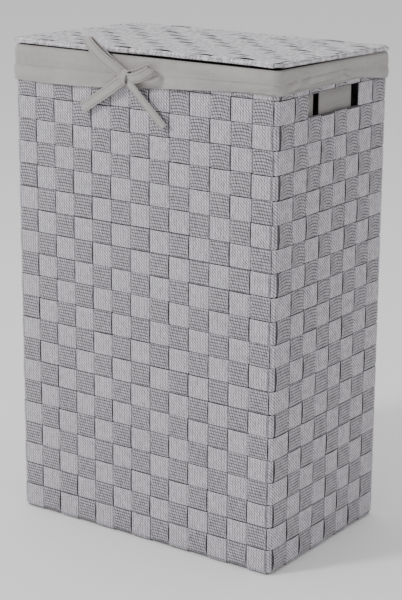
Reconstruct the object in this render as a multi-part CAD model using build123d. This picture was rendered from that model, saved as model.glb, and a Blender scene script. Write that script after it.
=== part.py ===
from build123d import *
import os

# A laundry hamper woven from flat straps over a wire frame, with a woven lid and a cloth liner.
# Millimetres. X runs along the front, +Y to the back, +Z up, and the origin is on the floor
# under the middle of the woven body.

# Driving dimensions
body_width = 400.0
body_depth = 256.0
overall_height = 631.0

strap_width = 27.0
strap_thickness = 1.0
strap_pitch = 30.0
row_pitch = 29.4
front_columns = 13
side_columns = 8
rows = 21
weave_gap = 0.2
level_margin = 0.3

first_row_height = 19.6
rim_row_bottom = 594.3
rim_row_top = 614.5

rim_wire_diameter = 5.0
base_wire_diameter = 5.0
post_wire_diameter = 3.5
lid_wire_diameter = 4.0
rim_wire_bend = 4.0
base_wire_bend = 3.0
lid_wire_bend = 5.0
post_inset_x = 3.3
post_inset_y = 4.7
corner_radius = 5.0

lid_overhang_x = 3.0
lid_overhang_y = 3.0
lid_clearance = 0.4
hinge_clearance = 0.3
hinge_columns = (3, 11)

handle_first_column = 3
handle_last_column = 6
handle_row = 20
handle_margin = 0.7
handle_side_margin = 0.5

liner_thickness = 1.0
bag_corner_radius = 12.0
bag_bottom_radius = 11.0
bag_drop = 2.5
bag_clearance = 0.4
cuff_corner_radius = 9.0
cuff_flat = 0.6
cuff_front_left = 582.0
cuff_front_right = 601.0
cuff_side = 600.0
cuff_back = 590.0

hinge_slot_margin = 1.0
hinge_slot_drop = 1.5
hinge_slot_height = 30.0

tape_width = 14.0
tape_thickness = 0.8
casing_tape_height = 12.0
casing_tape_corner = 7.0

bow_gap = 0.6
knot_x = -15.0
knot_z = 603.0
knot_width = 15.0
knot_depth = 7.6
knot_height = 13.0
knot_rounding = 3.0
tail_thickness = 2.0
left_loop_size = (15.0, 5.0)
left_loop_gap = 0.9
left_loop_root = (-23.0, 608.0)
left_loop_tip = (-72.0, 640.0)
right_loop_size = (16.0, 7.4)
right_loop_root = (-7.0, 605.0)
right_loop_tip = (35.0, 617.0)
left_tail_root = (-23.0, 598.0)
left_tail_tip = (-79.0, 560.0)
right_tail_root = (-7.5, 596.5)
right_tail_tip = (38.0, 553.0)

cut_overlap = 1.0
cut_depth = 20.0
opening_depth = 24.0

# Worked-out dimensions
half_strap = strap_width / 2
half_thick = strap_thickness / 2
weave_offset = half_thick + weave_gap / 2
weave_reach = weave_offset + half_thick
wall_x = body_width / 2 - weave_reach
wall_y = body_depth / 2 - weave_reach
base_z = weave_reach
crossing = half_strap + level_margin

wrap_slack = 0.2
base_slack = 0.1
rim_wire_radius = rim_wire_diameter / 2
rim_inset = 1.5
rim_wrap = rim_wire_radius + wrap_slack + half_thick
rim_tail = 18.0
rim_drop = 1.2
liner_ease = 0.3
cuff_radius = rim_wrap + half_thick + liner_ease + liner_thickness
lid_wire_radius = lid_wire_diameter / 2
lid_wrap = lid_wire_radius + wrap_slack / 2 + half_thick
lid_wire_z = overall_height - lid_wrap - half_thick
rim_wire_z = lid_wire_z - lid_wrap - half_thick - lid_clearance - cuff_radius
lid_wire_x = body_width / 2 + lid_overhang_x - lid_wrap - half_thick
lid_wire_y = body_depth / 2 + lid_overhang_y - lid_wrap - half_thick
lid_panel_z = overall_height - weave_reach
lid_tail = 8.0
lid_tail_gap = 0.3
hinge_wrap = lid_wire_radius + hinge_clearance + half_thick

base_bend = base_wire_diameter / 2 + weave_reach + base_slack
handle_span = strap_pitch * (handle_last_column - handle_first_column + 2)
handle_half = handle_span / 2 - half_strap + handle_side_margin


def row_centre(row):
    """Height of the middle of a hoop strap; the narrower rim row has its own place."""
    if row == rows:
        return (rim_row_bottom + rim_row_top) / 2
    return first_row_height + (row - 1) * row_pitch


def row_half(row):
    """Half the width of a hoop strap."""
    return (rim_row_top - rim_row_bottom) / 2 if row == rows else half_strap


def column_x(column):
    return (column - (front_columns + 1) / 2) * strap_pitch


def side_y(column):
    return (column - (side_columns + 1) / 2) * strap_pitch


def over(is_over):
    """Distance of a strap's middle from the wall's middle: outside or inside the one it crosses."""
    return weave_offset if is_over else -weave_offset


def front_over(column, row):
    return (column + row) % 2 == 1


def back_over(column, row):
    return (column + row) % 2 == 0


def side_over(column, row):
    return (column + row) % 2 == 0


def base_front_over(column, side_column):
    return (column + side_column) % 2 == 0


handle_bottom = row_centre(handle_row - 1) + half_strap + handle_margin
handle_top = rim_row_bottom - handle_margin


def edge_between(a, b, normal_a, normal_b):
    """A straight edge, or a quarter turn where the normal swings from one side to the next."""
    if abs(normal_a.dot(normal_b)) > 0.5:
        return Line(a, b).edge()
    radius = (b - a).length / 2 ** 0.5
    turn = 1 if (a - b).dot(normal_a) > 0 else -1
    centre = a - normal_a * radius * turn
    middle = centre + (normal_a + normal_b).normalized() * radius * turn
    return ThreePointArc(a, middle, b).edge()


def ribbon(stations, closed=False):
    """Section of a strap: stations are (point, outward normal) along its middle line."""
    stations = [(Vector(*point), Vector(*normal)) for point, normal in stations]
    pairs = list(zip(stations, stations[1:] + stations[:1]))
    if not closed:
        pairs = pairs[:-1]
    outlines = []
    for side in (half_thick, -half_thick):
        edges = [
            edge_between(point + normal * side, after + normal_after * side, normal, normal_after)
            for (point, normal), (after, normal_after) in pairs
        ]
        outlines.append(edges)
    outer, inner = outlines
    if closed:
        return Face(Wire(outer), [Wire(inner)])
    caps = [Line(outer[0] @ 0, inner[0] @ 0).edge(), Line(outer[-1] @ 1, inner[-1] @ 1).edge()]
    return Face(Wire(outer + inner + caps))


def rim_end(sign, wall):
    """Middle line from the tail inside the rim, over the rim wire, to the outside of the wall."""
    wire = sign * (wall - rim_inset)
    return [
        ((wire - sign * rim_wrap, rim_wire_z - rim_tail), (-sign, 0)),
        ((wire - sign * rim_wrap, rim_wire_z), (-sign, 0)),
        ((wire, rim_wire_z + rim_wrap), (0, 1)),
        ((wire + sign * rim_wrap, rim_wire_z), (sign, 0)),
        ((wire + sign * rim_wrap, rim_wire_z - rim_drop), (sign, 0)),
    ]


def hinge_end(sign, wall):
    """As rim_end, but looped over the lid's back wire, which turns inside the loop."""
    tail = sign * (wall - rim_inset - rim_wrap)
    wire = sign * lid_wire_y
    return [
        ((tail, rim_wire_z - rim_tail), (-sign, 0)),
        ((tail, rim_wire_z + rim_wrap), (-sign, 0)),
        ((wire - sign * hinge_wrap, lid_wire_z), (-sign, 0)),
        ((wire, lid_wire_z + hinge_wrap), (0, 1)),
        ((wire + sign * hinge_wrap, lid_wire_z), (sign, 0)),
    ]


def wall_run(sign, wall, is_over):
    """Middle line down one wall, from the rim row to the first row."""
    run = []
    for row in range(rows, 0, -1):
        offset = sign * (wall + over(is_over(row)))
        reach = row_half(row) + level_margin
        run.append(((offset, row_centre(row) + reach), (sign, 0)))
        run.append(((offset, row_centre(row) - reach), (sign, 0)))
    return run


def upright_section(wall, crossings, base_over, left_over, right_over, right_end):
    """Section of a strap that goes down one wall, under the base and up the opposite wall."""
    run = rim_end(-1, wall) + wall_run(-1, wall, left_over)
    first, last = over(base_over(0)), over(base_over(len(crossings) - 1))
    run.append(((-wall - first, base_z + base_bend), (-1, 0)))
    run.append(((-wall + base_bend, base_z - first), (0, -1)))
    for index, place in enumerate(crossings):
        height = base_z - over(base_over(index))
        run.append(((place - crossing, height), (0, -1)))
        run.append(((place + crossing, height), (0, -1)))
    run.append(((wall - base_bend, base_z - last), (0, -1)))
    run.append(((wall + last, base_z + base_bend), (1, 0)))
    run += wall_run(1, wall, right_over)[::-1] + right_end(1, wall)[::-1]
    return ribbon(run)


def front_strap(column):
    """Front wall, base and back wall: one continuous strap."""
    section = upright_section(
        wall_y,
        [side_y(j + 1) for j in range(side_columns)],
        lambda index: base_front_over(column, index + 1),
        lambda row: front_over(column, row),
        lambda row: back_over(column, row),
        hinge_end if column in hinge_columns else rim_end,
    )
    place = Plane.YZ.offset(column_x(column))
    return extrude(place * section, amount=half_strap, both=True)


def side_strap(column):
    """Left wall, base and right wall: one continuous strap."""
    section = upright_section(
        wall_x,
        [column_x(k + 1) for k in range(front_columns)],
        lambda index: not base_front_over(index + 1, column),
        lambda row: side_over(column, row),
        lambda row: side_over(column, row),
        rim_end,
    )
    place = Plane.XZ.offset(-side_y(column))
    return extrude(place * section, amount=half_strap, both=True)


def hoop_strap(row):
    """A strap round all four walls, woven against the upright straps."""
    run = []
    corner_x, corner_y = wall_x - corner_radius, wall_y - corner_radius
    fronts = [(column_x(k), over(not front_over(k, row))) for k in range(1, front_columns + 1)]
    rights = [(side_y(j), over(not side_over(j, row))) for j in range(1, side_columns + 1)]
    backs = [(column_x(k), over(not back_over(k, row))) for k in range(front_columns, 0, -1)]
    lefts = rights[::-1]
    walls = (
        (fronts, 1, corner_x, lambda along, off: (along, -wall_y - off), (0, -1)),
        (rights, 1, corner_y, lambda along, off: (wall_x + off, along), (1, 0)),
        (backs, -1, corner_x, lambda along, off: (along, wall_y + off), (0, 1)),
        (lefts, -1, corner_y, lambda along, off: (-wall_x - off, along), (-1, 0)),
    )
    entry = lefts[-1][1]
    for crossings, way, corner, place, normal in walls:
        run.append((place(-way * corner, entry), normal))
        for along, offset in crossings:
            run.append((place(along - way * crossing, offset), normal))
            run.append((place(along + way * crossing, offset), normal))
        entry = crossings[-1][1]
        run.append((place(way * corner, entry), normal))
    section = ribbon(run, closed=True)
    return extrude(Pos(0, 0, row_centre(row)) * section, amount=row_half(row), both=True)


def lid_section(wire, crossings, is_over, short_end=None):
    """Section of a lid strap: woven panel, wrapped round the wire at both ends."""
    tail_z = lid_panel_z - weave_reach - half_thick - lid_tail_gap

    def wrap(sign):
        return [
            ((sign * (wire - lid_tail), tail_z), (0, -1)),
            ((sign * (wire - lid_wire_radius), lid_wire_z - lid_wrap), (0, -1)),
            ((sign * wire, lid_wire_z - lid_wrap), (0, -1)),
            ((sign * (wire + lid_wrap), lid_wire_z), (sign, 0)),
            ((sign * wire, lid_wire_z + lid_wrap), (0, 1)),
        ]

    run = wrap(-1)
    for index, place in enumerate(crossings):
        height = lid_panel_z + over(is_over(index))
        run.append(((place - crossing, height), (0, 1)))
        run.append(((place + crossing, height), (0, 1)))
    if short_end is None:
        run += wrap(1)[::-1]
    return ribbon(run)


def lid_cross_strap(column):
    """Front to back across the lid; at the hinge columns it stops short of the back wire."""
    section = lid_section(
        lid_wire_y,
        [side_y(j + 1) for j in range(side_columns)],
        lambda index: base_front_over(column, index + 1),
        short_end=True if column in hinge_columns else None,
    )
    place = Plane.YZ.offset(column_x(column))
    return extrude(place * section, amount=half_strap, both=True)


def lid_long_strap(column):
    """Left to right across the lid."""
    section = lid_section(
        lid_wire_x,
        [column_x(k + 1) for k in range(front_columns)],
        lambda index: not base_front_over(index + 1, column),
    )
    place = Plane.XZ.offset(-side_y(column))
    return extrude(place * section, amount=half_strap, both=True)


def wire_ring(half_x, half_y, height, radius, bend):
    """A closed rectangular ring of round wire with bent corners."""
    path = Pos(0, 0, height) * RectangleRounded(2 * half_x, 2 * half_y, bend).wire()
    section = Plane(origin=(0, -half_y, height), z_dir=(1, 0, 0)) * Circle(radius)
    return sweep(section, path=path)


def tray(half_x, half_y, radius, low, high):
    """An upright rounded-rectangle block, measured from the wall's middle plane."""
    plan = RectangleRounded(2 * half_x, 2 * half_y, radius)
    return extrude(Pos(0, 0, low) * plan, amount=high - low)


def wall_block(offset, radius, low, high):
    """A block whose sides stand a set distance outside the middle of the woven walls."""
    return tray(wall_x + offset, wall_y + offset, radius, low, high)


bag_offset = -rim_inset - cuff_radius + liner_thickness
bag_top = rim_row_top - bag_drop
bag_floor = base_z + weave_reach + bag_clearance


def liner_bag():
    """Cloth bag: an open-topped shell with soft corners, up to where the cuff begins."""
    inside = bag_offset - liner_thickness
    inside_corner = bag_corner_radius - liner_thickness
    outer = wall_block(bag_offset, bag_corner_radius, bag_floor, bag_top)
    outer = fillet(outer.faces().sort_by(Axis.Z)[0].edges(), bag_bottom_radius)
    inner = wall_block(inside, inside_corner, bag_floor + liner_thickness, bag_top)
    inner = fillet(inner.faces().sort_by(Axis.Z)[0].edges(), bag_bottom_radius - liner_thickness)
    return outer - inner


def cuff_ring():
    """The mouth of the liner as a fold over the rim: outer leg, rounded top and inner leg."""
    outside = cuff_radius - rim_inset
    top = rim_wire_z + cuff_radius
    low = cuff_front_left - cut_overlap
    fold = cuff_radius - cuff_flat
    mouth = bag_offset - liner_thickness
    shell = wall_block(outside, cuff_corner_radius, cuff_front_left, top)
    shell = fillet(shell.faces().sort_by(Axis.Z)[-1].edges(), fold)
    shell = shell - wall_block(mouth, bag_corner_radius - liner_thickness, low, top + cut_overlap)
    hollow_corner = cuff_corner_radius - liner_thickness
    hollow = wall_block(outside - liner_thickness, hollow_corner, low, top - liner_thickness)
    hollow = fillet(hollow.faces().sort_by(Axis.Z)[-1].edges(), fold - liner_thickness)
    leg = wall_block(bag_offset, bag_corner_radius, bag_top, top)
    below = wall_block(bag_offset, bag_corner_radius, low - cut_overlap, bag_top)
    return shell - (hollow - leg) - below


def hem_cutter(low, high, near_x, near_y):
    """A block under the hem of one wall, from low to high, centred on near_x and near_y."""
    deep_x = cut_depth if near_x else 2 * body_width
    deep_y = 2 * (wall_y - cut_overlap) if near_x else cut_depth
    return Pos(near_x, near_y, (low + high) / 2) * Box(deep_x, deep_y, high - low)


def liner_cuff():
    """The bag's mouth, turned over the rim and down the outside, with slots for the hinges."""
    start = cuff_front_left - cut_overlap
    outside = cut_depth / 2 - cut_overlap
    shell = cuff_ring()
    front_hem = Polyline(
        (-body_width, start),
        (-body_width, cuff_front_left),
        (-wall_x, cuff_front_left),
        (wall_x, cuff_front_right),
        (body_width, cuff_front_right),
        (body_width, start),
        close=True,
    )
    front = Plane.XZ.offset(wall_y - cut_overlap)
    shell = shell - extrude(front * make_face(front_hem), amount=cut_depth)
    for sign in (-1, 1):
        shell = shell - hem_cutter(start, cuff_side, sign * (wall_x + outside), 0)
    shell = shell - hem_cutter(start, cuff_back, 0, wall_y + outside)
    slot = Box(strap_width + 2 * hinge_slot_margin, opening_depth, hinge_slot_height)
    slot_z = rim_row_top - hinge_slot_drop + hinge_slot_height / 2
    for column in hinge_columns:
        shell = shell - Pos(column_x(column), wall_y, slot_z) * slot
    return shell


def drawstring():
    """Flat tape running round the rim inside the cuff."""
    low = row_centre(rows) - casing_tape_height / 2
    high = low + casing_tape_height
    inside = weave_reach + liner_ease
    ring = wall_block(inside + tape_thickness, casing_tape_corner, low, high)
    return ring - wall_block(inside, casing_tape_corner - tape_thickness, low, high)


front_of_cuff = wall_y - rim_inset + cuff_radius


def tape_run(start, end, width, thick, near):
    """A straight flat length of tape in front of the cuff, from start to end in X and Z."""
    run = Vector(end[0] - start[0], 0, end[1] - start[1])
    middle = ((start[0] + end[0]) / 2, -front_of_cuff - near - thick / 2, (start[1] + end[1]) / 2)
    place = Plane(origin=middle, x_dir=run.normalized(), z_dir=(0, -1, 0))
    return place * Box(run.length, width, thick)


def bow():
    """The tape's ends tied in a bow: knot, two loops and two hanging tails."""
    knot_y = -front_of_cuff - bow_gap - knot_depth / 2
    knot = Pos(knot_x, knot_y, knot_z) * Box(knot_width, knot_depth, knot_height)
    knot = fillet(knot.edges(), knot_rounding)
    left_loop = tape_run(left_loop_root, left_loop_tip, *left_loop_size, left_loop_gap)
    right_loop = tape_run(right_loop_root, right_loop_tip, *right_loop_size, bow_gap)
    left_tail = tape_run(left_tail_root, left_tail_tip, tape_width, tail_thickness, bow_gap)
    right_tail = tape_run(right_tail_root, right_tail_tip, tape_width, tail_thickness, bow_gap)
    return [knot, left_loop, right_loop, left_tail, right_tail]


def handle_cut():
    """The volume of both hand holes."""
    hole = Box(opening_depth, 2 * handle_half, handle_top - handle_bottom)
    middle = (handle_top + handle_bottom) / 2
    return Pos(-wall_x, 0, middle) * hole + Pos(wall_x, 0, middle) * hole


def write(name, *solids):
    """One file for one sub-part."""
    shapes = [solid for shape in solids for solid in shape.solids()]
    shape = shapes[0] if len(shapes) == 1 else Compound(children=shapes)
    shape.label = name
    export_step(shape, f"parts/{name}.step")


def main():
    os.makedirs("parts", exist_ok=True)
    holes = handle_cut()

    for column in range(1, front_columns + 1):
        write(f"front_back_strap_{column:02d}", front_strap(column))

    bar_wraps = {"left": [], "right": []}
    for column in range(1, side_columns + 1):
        strap = side_strap(column)
        if handle_first_column <= column <= handle_last_column:
            pieces = (strap - holes).solids().sort_by(Axis.Z)
            strap = pieces[0]
            for piece in pieces[1:]:
                bar_wraps["left" if piece.center().X < 0 else "right"].append(piece)
        write(f"side_to_side_strap_{column:02d}", strap)
    for side, wraps in bar_wraps.items():
        write(f"{side}_handle_bar_wraps", *wraps)

    for row in range(1, rows + 1):
        hoop = hoop_strap(row)
        if row == handle_row:
            hoop = hoop - holes
        write(f"hoop_strap_{row:02d}", hoop)

    rim_x, rim_y = wall_x - rim_inset, wall_y - rim_inset
    write("top_rim_wire", wire_ring(rim_x, rim_y, rim_wire_z, rim_wire_radius, rim_wire_bend))
    foot_x, foot_y, foot_z = wall_x - base_bend, wall_y - base_bend, base_z + base_bend
    foot_radius = base_wire_diameter / 2
    write("base_rim_wire", wire_ring(foot_x, foot_y, foot_z, foot_radius, base_wire_bend))
    post_low = foot_z + foot_radius
    post_high = rim_wire_z - rim_wire_radius
    post_x, post_y = wall_x - post_inset_x, wall_y - post_inset_y
    places = {"front_left": (-1, -1), "front_right": (1, -1), "back_left": (-1, 1), "back_right": (1, 1)}
    for name, (sign_x, sign_y) in places.items():
        post = Cylinder(post_wire_diameter / 2, post_high - post_low)
        middle = (post_low + post_high) / 2
        write(f"{name}_corner_post", Pos(sign_x * post_x, sign_y * post_y, middle) * post)

    write("liner_bag", liner_bag())
    write("liner_cuff", liner_cuff())
    write("drawstring_tape", drawstring())
    write("drawstring_bow", *bow())

    lid_ring = wire_ring(lid_wire_x, lid_wire_y, lid_wire_z, lid_wire_radius, lid_wire_bend)
    write("lid_frame_wire", lid_ring)
    write("lid_cross_straps", *[lid_cross_strap(k) for k in range(1, front_columns + 1)])
    write("lid_long_straps", *[lid_long_strap(j) for j in range(1, side_columns + 1)])


main()
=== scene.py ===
"""A woven-strap laundry hamper with a hinged woven lid and a cloth liner, built round its CAD frame."""

import math

import bpy
import numpy as np
from bpy.props import FloatProperty, FloatVectorProperty, PointerProperty
from mathutils import Matrix, Vector, noise


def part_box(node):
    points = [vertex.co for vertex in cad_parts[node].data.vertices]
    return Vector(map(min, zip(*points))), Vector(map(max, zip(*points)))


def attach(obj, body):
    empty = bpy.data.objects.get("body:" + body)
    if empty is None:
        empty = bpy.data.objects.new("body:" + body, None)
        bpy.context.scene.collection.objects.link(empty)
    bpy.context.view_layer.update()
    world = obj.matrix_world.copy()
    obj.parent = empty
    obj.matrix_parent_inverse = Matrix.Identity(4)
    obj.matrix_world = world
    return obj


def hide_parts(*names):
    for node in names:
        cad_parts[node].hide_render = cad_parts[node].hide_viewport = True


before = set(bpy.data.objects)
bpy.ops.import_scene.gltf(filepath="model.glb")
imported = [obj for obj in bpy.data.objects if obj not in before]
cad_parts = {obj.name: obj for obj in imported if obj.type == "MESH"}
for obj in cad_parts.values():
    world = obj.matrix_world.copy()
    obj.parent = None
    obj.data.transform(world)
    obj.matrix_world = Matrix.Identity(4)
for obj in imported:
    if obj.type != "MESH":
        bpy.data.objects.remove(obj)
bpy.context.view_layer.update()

bl_info = {
    "name": "Woven Laundry Hamper",
    "version": (1, 0, 0),
    "blender": (4, 5, 0),
    "location": "View3D > Sidebar > Hamper",
    "description": "Builds a plaited hamper with its lid, liner, cuff and bow",
    "category": "Add Mesh",
}

MM = 0.001
BODY, LID = "hamper_body", "lid"
UV_NAME = "Weave"
RELIEF_NAME = "Relief"


# Properties


def length(name, description, default):
    """A length property in metres."""
    return FloatProperty(
        name=name, description=description, default=default, subtype="DISTANCE", unit="LENGTH", precision=5
    )


def colour(name, description, default):
    """A colour property."""
    return FloatVectorProperty(
        name=name, description=description, default=default, subtype="COLOR", size=3, min=0, max=1
    )


class HamperSizes(bpy.types.PropertyGroup):
    """Sizes of the strap, cloth and tape; places come from the frame."""

    strap_width: length("Strap width", "Width of one woven strap", 28.1 * MM)
    strap_thickness: length("Strap thickness", "Thickness of one strap", 1.15 * MM)
    rise: length("Rise", "How far a strap's middle leaves the wall's middle at a crossing", 0.62 * MM)
    crown: length("Crown", "Extra rise in the middle of a crossing", 0.4 * MM)
    ridge_pitch: length("Ridge pitch", "Spacing of the cross ridges of the strap", 3.9 * MM)
    lid_strap_width: length("Lid strap width", "Width of the straps along the lid", 27.2 * MM)
    lid_cross_width: length("Lid cross width", "Width of the straps across the lid", 29.5 * MM)
    cloth_thickness: length("Cloth thickness", "Thickness of the liner cloth", 0.8 * MM)
    tape_width: length("Tape width", "Width of the drawstring tape", 13.6 * MM)
    tape_thickness: length("Tape thickness", "Thickness of the folded tape", 1.1 * MM)


class HamperColours(bpy.types.PropertyGroup):
    """Colours of the finishes."""

    hoop_strap: colour("Hoop strap", "Straps that run round the walls", (0.365, 0.345, 0.378))
    # painted shade: the upright straps are the same webbing as the hoops, coloured darker for the shade
    # that falls across their ridges
    upright_strap: colour("Upright strap", "Straps that run up the walls", (0.248, 0.235, 0.257))
    lid_strap: colour("Lid strap", "Straps of the lid", (0.37, 0.354, 0.374))
    cloth: colour("Cuff cloth", "The folded-out mouth of the liner", (0.41, 0.389, 0.377))
    # painted shade: the bag is the cuff's cloth, coloured darker for the shade inside the hamper
    bag: colour("Bag cloth", "The liner inside the hamper", (0.315, 0.299, 0.29))
    tape: colour("Tape", "Drawstring and bow", (0.355, 0.336, 0.326))
    wire: colour("Wire", "Powder-coated frame wire", (0.42, 0.42, 0.43))
    floor: colour("Floor", "Studio floor", (0.93, 0.93, 0.93))


def sizes():
    return bpy.context.scene.hamper_sizes


def colours():
    return bpy.context.scene.hamper_colours


# Places read from the frame


def centre(node):
    low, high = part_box(node)
    return (low + high) / 2


def named(prefix):
    """The CAD nodes whose names start with prefix, in order."""
    return sorted(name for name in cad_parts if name.startswith(prefix))


class Wire:
    """A rectangular ring of round wire: the half lengths of its middle line, its height and radius."""

    def __init__(self, node):
        low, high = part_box(node)
        self.radius = (high.z - low.z) / 2
        self.x, self.y = high.x - self.radius, high.y - self.radius
        self.z = (high.z + low.z) / 2


UPRIGHTS = named("front_back_strap_")
SIDE_UPRIGHTS = named("side_to_side_strap_")
HOOPS = named("hoop_strap_")
COLUMN_X = [centre(name).x for name in UPRIGHTS]
COLUMN_Y = [centre(name).y for name in SIDE_UPRIGHTS]
ROW_SPANS = [(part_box(name)[0].z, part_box(name)[1].z) for name in HOOPS]
HALF_X, HALF_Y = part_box(HOOPS[len(HOOPS) // 2])[1][:2]
RIM, LID_WIRE = Wire("top_rim_wire"), Wire("lid_frame_wire")
HINGE_COLUMNS = [k for k, name in enumerate(UPRIGHTS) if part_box(name)[1].z > RIM.z + 2 * RIM.radius]
BAR_LOW, BAR_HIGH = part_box("right_handle_bar_wraps")
HANDLE_COLUMNS = [j for j, y in enumerate(COLUMN_Y) if BAR_LOW.y < y < BAR_HIGH.y]
LID_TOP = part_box("lid_cross_straps")[1].z
CUFF_LOW, CUFF_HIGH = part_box("liner_cuff")
CORNER = 5.0 * MM
BASE_BEND = 3.7 * MM
FOLDED_TAIL = 18.0 * MM
ROLLED_WIDTH = 29.7 * MM
HOOP_END = 2.5 * MM
LID_LIFT = 5.0 * MM
LID_TWIST = 1.6 * MM
CUFF_LIFT = 3.6 * MM
SEED_SHIFT = 0.0137
PLAIN = 5.0 * MM
LAST_ROW = len(HOOPS) - 1
HANDLE_ROW = LAST_ROW - 1


def plaited(index, other, shift=0):
    """Which strap of a crossing lies outside: they take turns."""
    return (index + other + shift) % 2 == 0


# Shading


def maths(operation, reflected=False):
    """A method that feeds the socket and the other operand to a Math node."""

    def method(self, *others):
        values = (*others, self) if reflected else (self, *others)
        return self.finish.node("ShaderNodeMath", {"operation": operation}, dict(enumerate(values)))

    return method


class Shade:
    """A shader socket that Python's arithmetic turns into Math nodes."""

    def __init__(self, finish, socket):
        self.finish = finish
        self.socket = socket

    def out(self, index):
        """Another output of the same node."""
        return Shade(self.finish, self.socket.node.outputs[index])

    __add__ = __radd__ = maths("ADD")
    __mul__ = __rmul__ = maths("MULTIPLY")
    __sub__ = maths("SUBTRACT")
    __rsub__ = maths("SUBTRACT", reflected=True)
    __truediv__ = maths("DIVIDE")
    __rtruediv__ = maths("DIVIDE", reflected=True)
    __abs__ = maths("ABSOLUTE")
    sine = maths("SINE")
    fraction = maths("FRACT")

    def step(self, low, high):
        """0 below low, 1 above high, and smooth between."""
        settings = {"interpolation_type": "SMOOTHSTEP"}
        return self.finish.node("ShaderNodeMapRange", settings, {0: self, 1: low, 2: high})


class Finish:
    """A procedural material under construction."""

    def __init__(self, name):
        self.material = bpy.data.materials.new(name)
        self.material.use_nodes = True
        self.tree = self.material.node_tree
        self.tree.nodes.clear()

    def node(self, kind, settings=None, inputs=None, output=0):
        """Adds a node: its settings first, then the values or links of its sockets."""
        made = self.tree.nodes.new(kind)
        for key, value in (settings or {}).items():
            setattr(made, key, value)
        for key, value in (inputs or {}).items():
            socket = made.inputs[key]
            if isinstance(value, Shade):
                self.tree.links.new(value.socket, socket)
            elif hasattr(value, "__len__") and len(value) == 3 and socket.type == "RGBA":
                socket.default_value = (*value, 1)
            else:
                socket.default_value = value
        return Shade(self, made.outputs[output]) if made.outputs else made

    def shaded(self, tint, factor):
        """A colour made darker or lighter by a factor."""
        grey = self.node("ShaderNodeCombineXYZ", None, {0: factor, 1: factor, 2: factor})
        return self.node("ShaderNodeVectorMath", {"operation": "MULTIPLY"}, {0: grey, 1: tint})

    def coordinates(self, layer):
        """The two numbers of a UV map; the strap's map holds millimetres across and along it."""
        split = self.node(
            "ShaderNodeSeparateXYZ", None, {0: self.node("ShaderNodeUVMap", {"uv_map": layer})}
        )
        return split.out(0), split.out(1)

    def point(self):
        """The point in the object's own frame."""
        return self.node("ShaderNodeTexCoord").out(3)

    def noise(self, scale, detail=2.0, roughness=0.5):
        """Noise over the object; scale is one number or one for each axis."""
        scales = scale if isinstance(scale, tuple) else (scale,) * 3
        placed = self.node("ShaderNodeVectorMath", {"operation": "MULTIPLY"}, {0: self.point(), 1: scales})
        inputs = {"Vector": placed, "Scale": 1.0, "Detail": detail, "Roughness": roughness}
        return self.node("ShaderNodeTexNoise", None, inputs)

    def close(self, tint, roughness, height, depth, constants=None):
        """Ends the material: tint, roughness and a bumped surface, with constant gloss values."""
        bump = {"Strength": 1.0, "Distance": depth, "Height": height}
        inputs = {
            "Base Color": tint,
            "Roughness": roughness,
            "Normal": self.node("ShaderNodeBump", None, bump),
            **(constants or {}),
        }
        shader = self.node("ShaderNodeBsdfPrincipled", None, inputs)
        self.node("ShaderNodeOutputMaterial", None, {"Surface": shader})
        return self.material


def finish(name, build, tint):
    """The named material, built from its tint the first time it is asked for."""
    return bpy.data.materials.get(name) or build(name, tint)


# groove sets how deep each ridge's groove is, in the bump and as painted shade in the colour; dimmest,
# contrast and fuzz set the pattern's tone.
WEAVES = {
    "upright_strap": {"groove": 0.85, "dimmest": 0.42, "contrast": 2.2, "fuzz": 0.35},
    "hoop_strap": {"groove": 0.5, "dimmest": 0.42, "contrast": 2.0, "fuzz": 0.35},
    "lid_strap": {"groove": 0.45, "dimmest": 0.58, "contrast": 2.0, "fuzz": 0.9},
}
STITCH_PITCH = 3.8
TWILL_PITCH = 4.3
BRAID_PITCH = 2.1
BRAID_EDGES = (12.7, 13.5)
FULL_TURN = 2 * math.pi


def strap_finish(name, tint):
    """Webbing with cross ridges, slanting stitches and a braided edge, with painted shade where it dives
    and on its side faces.
    """
    made = Finish(name)
    weave = WEAVES[name]
    across, along = made.coordinates(UV_NAME)
    relief, _ = made.coordinates(RELIEF_NAME)
    wander = made.noise(30, 3.0)
    rows = (along + wander * 1.6) / (sizes().ridge_pitch / MM)
    from_ridge = abs(rows.fraction() - 0.5) * 2
    ridge = 1 - from_ridge * from_ridge * weave["groove"]
    uneven = made.noise(260)
    if name == "upright_strap":
        lean = across / STITCH_PITCH + rows * 0.35
    else:
        lean = (across + along) / TWILL_PITCH
    stitch = ((lean + uneven * 0.6) * FULL_TURN).sine().step(-0.8, 0.8)
    edge = abs(across).step(*BRAID_EDGES)
    braid = ((along / BRAID_PITCH + across * 0.3) * FULL_TURN).sine() * 0.5 + 0.5
    body = ridge * (stitch * (0.95 - weave["dimmest"]) + weave["dimmest"])
    height = body * (1 - edge) + edge * (braid * 0.5 + 0.45)
    cloud = made.noise(9, 3.0)
    fleck = made.noise(800, 1.0)
    worn = made.noise(60, 4.0, 0.6)
    tuft = made.noise((300, 110, 110)).step(0.3, 0.7)
    # The ridge and stitch pattern is the weave's own, and its grooves are also painted darker as painted
    # shade of the relief.
    level = height * weave["contrast"] + cloud * 0.2 + fleck * 0.3 + worn * 0.15
    level = level + tuft * weave["fuzz"] - 0.3 - weave["fuzz"] / 2
    # painted shade: darker where the Relief map says the strap dives under a crossing strap or turns to a
    # side face, where shade falls between the straps
    painted_crevice_shade = relief.step(-0.3, 0.56) * 0.7 + 0.3
    roughness = 0.88 - height * 0.12 + fleck * 0.04
    gloss = {"Sheen Weight": 0.2, "Sheen Roughness": 0.45, "Specular IOR Level": 0.35}
    tint = made.shaded(tint, level * painted_crevice_shade)
    return made.close(tint, roughness, height + fleck * 0.15, 0.6 * MM, gloss)


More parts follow.
